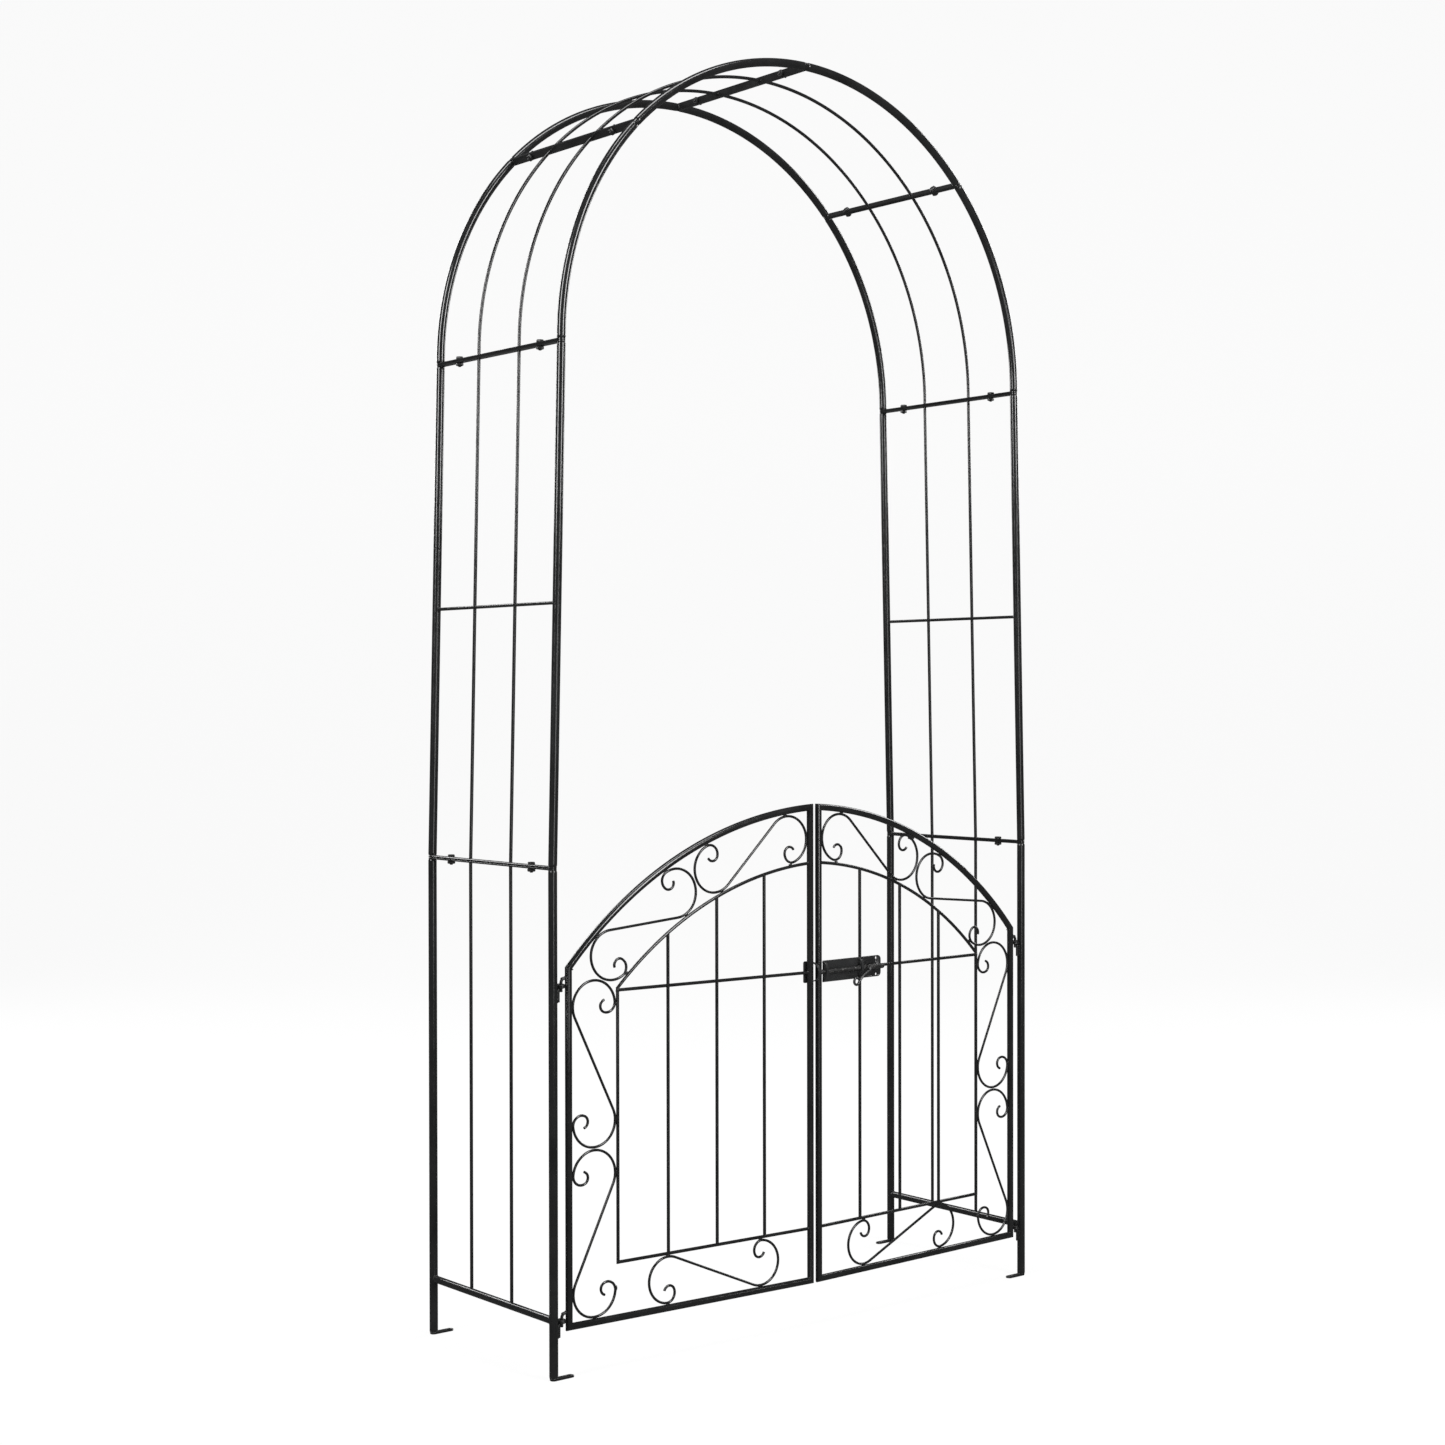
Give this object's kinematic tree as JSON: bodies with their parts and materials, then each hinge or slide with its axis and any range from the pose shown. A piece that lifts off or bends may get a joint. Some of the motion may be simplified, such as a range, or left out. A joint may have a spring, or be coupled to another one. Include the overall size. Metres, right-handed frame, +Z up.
{
  "type": "garden trellis arch with gate",
  "caption": "Tall round-topped garden arch of bolted tube-and-wire panels, with a pair of scrollwork gate leaves on hook hinges and a sliding barrel bolt.",
  "frame": {"origin": "centre of the object's footprint box, on the ground under the feet, with both leaves standing about 2 degrees open", "axes": "+Z up; +X to the right for someone facing the gate from outside; -Y is the front, where the gate leaves and the bolt are; +Y is the back"},
  "size_m": [1.133, 0.422, 2.2795],
  "materials": {
    "arch_coat": "satin black powder coat with a faint texture",
    "gate_coat": "satin black powder coat",
    "hinge_coat": "satin black powder coat, rubbed where the parts turn",
    "latch_coat": "semi-gloss black coat",
    "bolt_finish": "blackened steel"
  },
  "bodies": {
    "arch": {"Apex_Joint_Back_Bolt": "bolt_finish", "Apex_Joint_Front_Bolt": "bolt_finish", "Left_Back_Foot_Tab": "arch_coat", "Left_Front_Foot_Tab": "arch_coat", "Left_Lower_Arch_Section": "arch_coat", "Left_Lower_Hinge_Eye": "hinge_coat", "Left_Lower_Side_Panel": "arch_coat", "Left_Panel_Joint_Back_Bolt": "bolt_finish", "Left_Panel_Joint_Front_Bolt": "bolt_finish", "Left_Shoulder_Joint_Back_Bolt": "bolt_finish", "Left_Shoulder_Joint_Front_Bolt": "bolt_finish", "Left_Spring_Joint_Back_Bolt": "bolt_finish", "Left_Spring_Joint_Front_Bolt": "bolt_finish", "Left_Upper_Arch_Section": "arch_coat", "Left_Upper_Hinge_Eye": "hinge_coat", "Left_Upper_Side_Panel": "arch_coat", "Right_Back_Foot_Tab": "arch_coat", "Right_Front_Foot_Tab": "arch_coat", "Right_Lower_Arch_Section": "arch_coat", "Right_Lower_Hinge_Eye": "hinge_coat", "Right_Lower_Side_Panel": "arch_coat", "Right_Panel_Joint_Back_Bolt": "bolt_finish", "Right_Panel_Joint_Front_Bolt": "bolt_finish", "Right_Shoulder_Joint_Back_Bolt": "bolt_finish", "Right_Shoulder_Joint_Front_Bolt": "bolt_finish", "Right_Spring_Joint_Back_Bolt": "bolt_finish", "Right_Spring_Joint_Front_Bolt": "bolt_finish", "Right_Upper_Arch_Section": "arch_coat", "Right_Upper_Hinge_Eye": "hinge_coat", "Right_Upper_Side_Panel": "arch_coat"},
    "left_leaf": {"Latch_Keeper": "latch_coat", "Left_Gate_Frame": "gate_coat", "Left_Gate_Grid": "gate_coat", "Left_Gate_Scroll_Bottom": "gate_coat", "Left_Gate_Scroll_Side_High": "gate_coat", "Left_Gate_Scroll_Side_Low": "gate_coat", "Left_Gate_Scroll_Top_Inner": "gate_coat", "Left_Gate_Scroll_Top_Outer": "gate_coat", "Left_Lower_Hinge_Hook": "hinge_coat", "Left_Upper_Hinge_Hook": "hinge_coat"},
    "right_leaf": {"Latch_Far_Guide_Strap": "latch_coat", "Latch_Near_Guide_Strap": "latch_coat", "Latch_Plate": "latch_coat", "Right_Gate_Frame": "gate_coat", "Right_Gate_Grid": "gate_coat", "Right_Gate_Scroll_Bottom": "gate_coat", "Right_Gate_Scroll_Side_High": "gate_coat", "Right_Gate_Scroll_Side_Low": "gate_coat", "Right_Gate_Scroll_Top_Inner": "gate_coat", "Right_Gate_Scroll_Top_Outer": "gate_coat", "Right_Lower_Hinge_Hook": "hinge_coat", "Right_Upper_Hinge_Hook": "hinge_coat"},
    "bolt": {"Latch_Bolt": "latch_coat"}
  },
  "joints": [
    {"name": "left_leaf_hinge", "type": "hinge", "parent": "arch", "child": "left_leaf", "pos_m": [-0.5426, -0.1687, 0.38], "axis": [0, 0, -1], "range_deg": [-90, 107]},
    {"name": "right_leaf_hinge", "type": "hinge", "parent": "arch", "child": "right_leaf", "pos_m": [0.5426, -0.1687, 0.38], "axis": [0, 0, 1], "range_deg": [-90, 107]},
    {"name": "bolt_slide", "type": "slide", "parent": "right_leaf", "child": "bolt", "axis": [-0.9992, -0.0401, 0], "range_m": [-0.015, 0.0074]}
  ]
}
